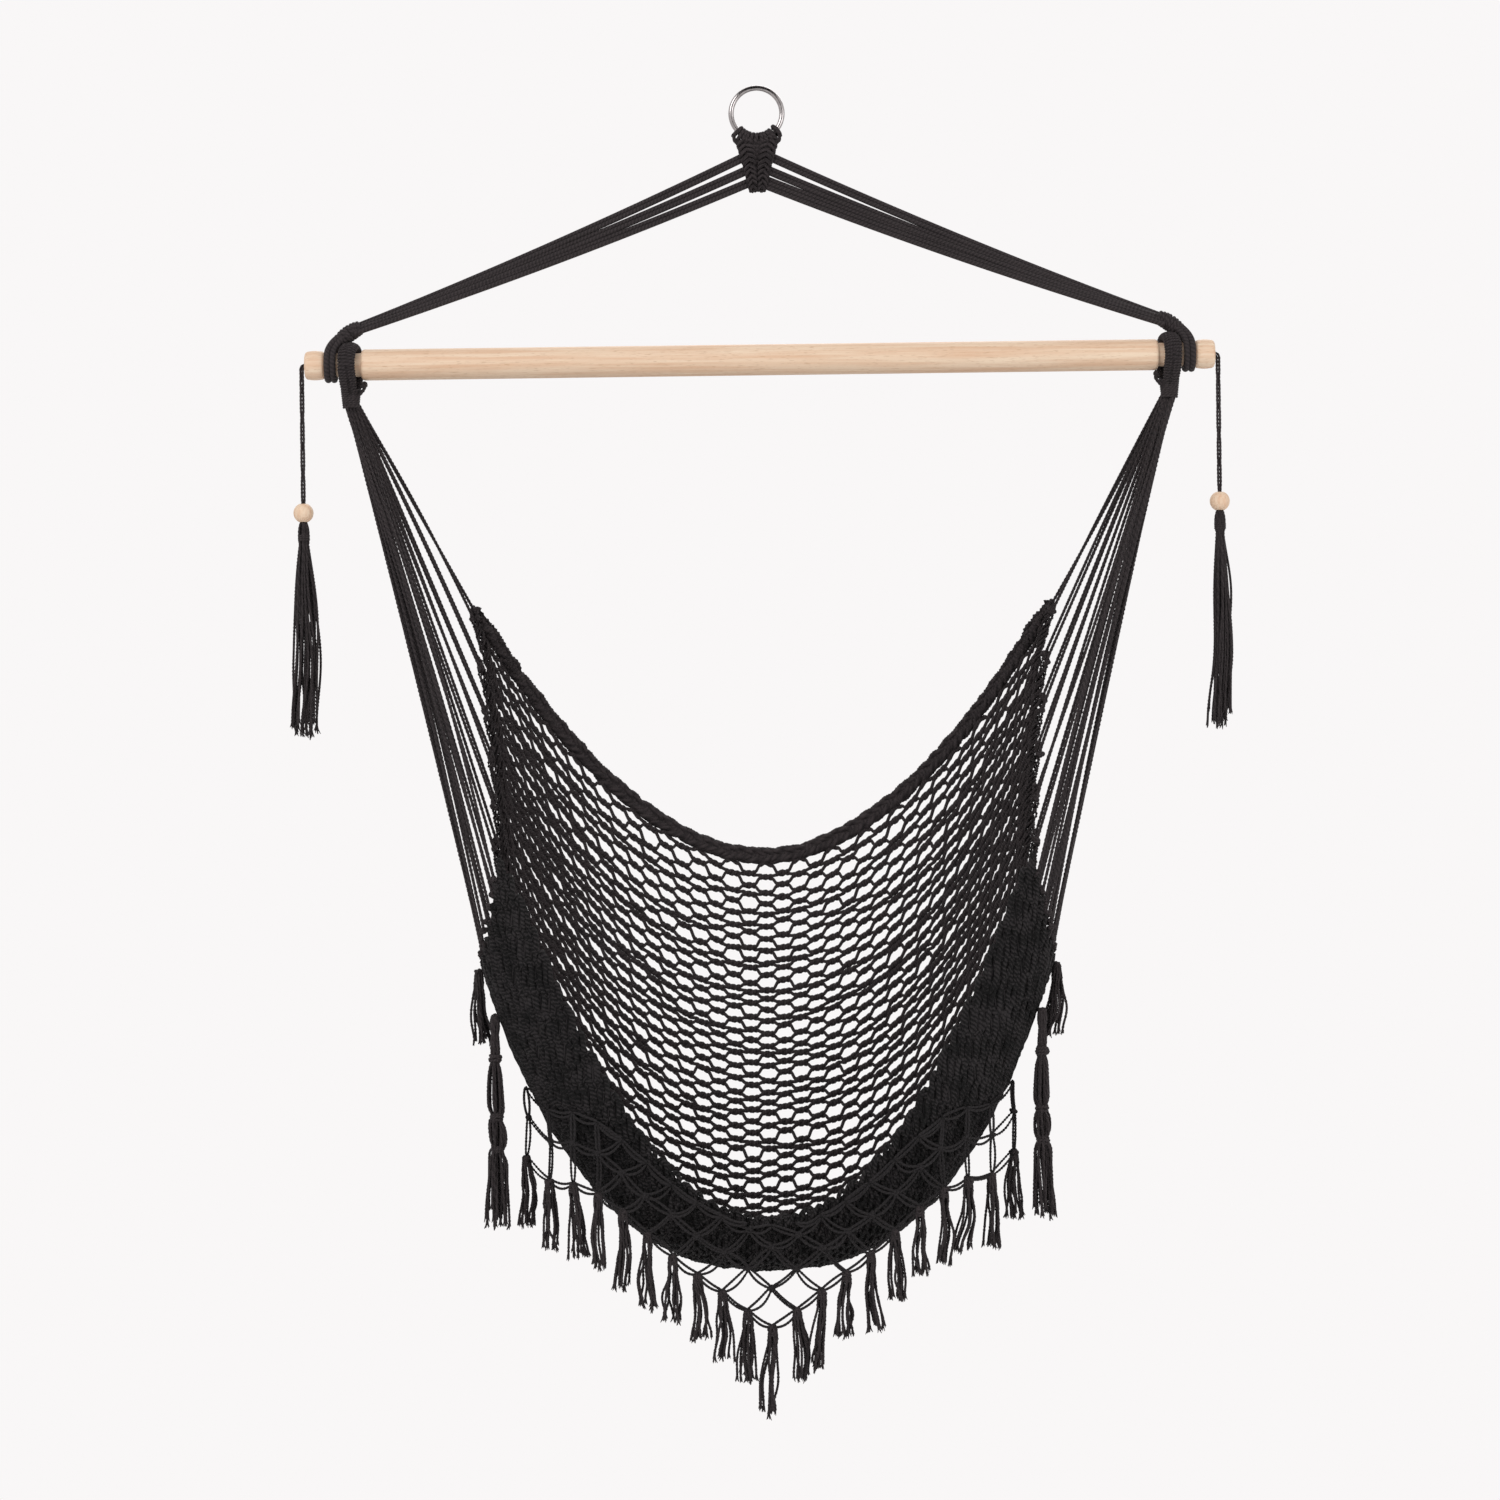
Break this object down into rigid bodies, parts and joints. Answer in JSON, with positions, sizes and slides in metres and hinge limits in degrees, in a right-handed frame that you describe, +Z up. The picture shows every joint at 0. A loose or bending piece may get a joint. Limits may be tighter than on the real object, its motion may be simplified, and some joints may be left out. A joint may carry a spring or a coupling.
{
  "type": "hammock chair",
  "caption": "Hanging hammock chair: a black cotton net seat with lace and tassels, on a turned wooden spreader bar and a steel ring.",
  "frame": {"origin": "highest point inside the hanging ring, where a hook carries it", "axes": "+X along the spreader bar to the sitter's left as seen from the front, +Y towards the back of the seat, +Z up"},
  "size_m": [1.039, 0.3357, 1.4391],
  "materials": {
    "cotton": "matte twisted cotton cord, dyed black",
    "beech": "sanded pale hardwood, clear matt",
    "steel": "polished nickel"
  },
  "bodies": {
    "ring": {"hanging_ring": "steel"},
    "knot": {"ring_knot": "cotton"},
    "suspension": {"left_upper_hanging_cord": "cotton", "left_middle_hanging_cord": "cotton", "left_lower_hanging_cord": "cotton", "right_upper_hanging_cord": "cotton", "right_middle_hanging_cord": "cotton", "right_lower_hanging_cord": "cotton", "left_bar_loop": "cotton", "right_bar_loop": "cotton"},
    "bar": {"spreader_bar": "beech"},
    "seat": {"left_eye_loop": "cotton", "left_eye_whipping": "cotton", "left_harness": "cotton", "right_eye_loop": "cotton", "right_eye_whipping": "cotton", "right_harness": "cotton", "back_selvedge": "cotton", "seat_net_upper_left": "cotton", "seat_net_upper_centre": "cotton", "seat_net_upper_right": "cotton", "seat_net_middle_left": "cotton", "seat_net_middle_centre": "cotton", "seat_net_middle_right": "cotton", "seat_net_lower_left": "cotton", "seat_net_lower_centre": "cotton", "seat_net_lower_right": "cotton", "front_band": "cotton", "fringe_lace": "cotton", "fringe_tassel_1": "cotton", "fringe_tassel_2": "cotton", "fringe_tassel_3": "cotton", "fringe_tassel_4": "cotton", "fringe_tassel_5": "cotton", "fringe_tassel_6": "cotton", "fringe_tassel_7": "cotton", "fringe_tassel_8": "cotton", "fringe_tassel_9": "cotton", "fringe_tassel_10": "cotton", "fringe_tassel_11": "cotton", "fringe_tassel_12": "cotton", "fringe_tassel_13": "cotton", "fringe_tassel_14": "cotton", "fringe_tassel_15": "cotton", "fringe_tassel_16": "cotton", "fringe_tassel_17": "cotton", "fringe_tassel_18": "cotton", "fringe_tassel_19": "cotton", "fringe_tassel_20": "cotton", "fringe_tassel_21": "cotton", "left_corner_tassel": "cotton", "left_bundle_tassel": "cotton", "right_corner_tassel": "cotton", "right_bundle_tassel": "cotton"},
    "left_tassel_line": {"left_tassel_cord": "cotton"},
    "left_tassel_bead": {"left_bead": "beech"},
    "left_tassel": {"left_side_tassel": "cotton"},
    "right_tassel_line": {"right_tassel_cord": "cotton"},
    "right_tassel_bead": {"right_bead": "beech"},
    "right_tassel": {"right_side_tassel": "cotton"}
  },
  "joints": [
    {"name": "ring_turn", "type": "hinge", "parent": "ring", "child": "knot", "pos_m": [0, 0, -0.025], "axis": [0, 1, 0], "range_deg": [-20, 20]},
    {"name": "suspension_swing", "type": "hinge", "parent": "knot", "child": "suspension", "pos_m": [0, 0, -0.086], "axis": [1, 0, 0], "range_deg": [-15, 15]},
    {"name": "bar_roll", "type": "hinge", "parent": "suspension", "child": "bar", "pos_m": [0, 0, -0.296], "axis": [1, 0, 0], "continuous": true},
    {"name": "seat_swing", "type": "hinge", "parent": "suspension", "child": "seat", "pos_m": [0, 0, -0.296], "axis": [1, 0, 0], "range_deg": [-30, 30]},
    {"name": "left_tassel_swing", "type": "hinge", "parent": "suspension", "child": "left_tassel_line", "pos_m": [-0.504, 0, -0.296], "axis": [1, 0, 0], "range_deg": [-45, 45]},
    {"name": "left_bead_slide", "type": "slide", "parent": "left_tassel_line", "child": "left_tassel_bead", "axis": [0, 0, 1], "range_m": [0, 0.09]},
    {"name": "left_tassel_tilt", "type": "hinge", "parent": "left_tassel_line", "child": "left_tassel", "pos_m": [-0.504, 0, -0.4748], "axis": [0, 1, 0], "range_deg": [-15, 30]},
    {"name": "right_tassel_swing", "type": "hinge", "parent": "suspension", "child": "right_tassel_line", "pos_m": [0.504, 0, -0.296], "axis": [1, 0, 0], "range_deg": [-45, 45]},
    {"name": "right_bead_slide", "type": "slide", "parent": "right_tassel_line", "child": "right_tassel_bead", "axis": [0, 0, 1], "range_m": [0, 0.09]},
    {"name": "right_tassel_tilt", "type": "hinge", "parent": "right_tassel_line", "child": "right_tassel", "pos_m": [0.504, 0, -0.4748], "axis": [0, 1, 0], "range_deg": [-30, 15]}
  ]
}
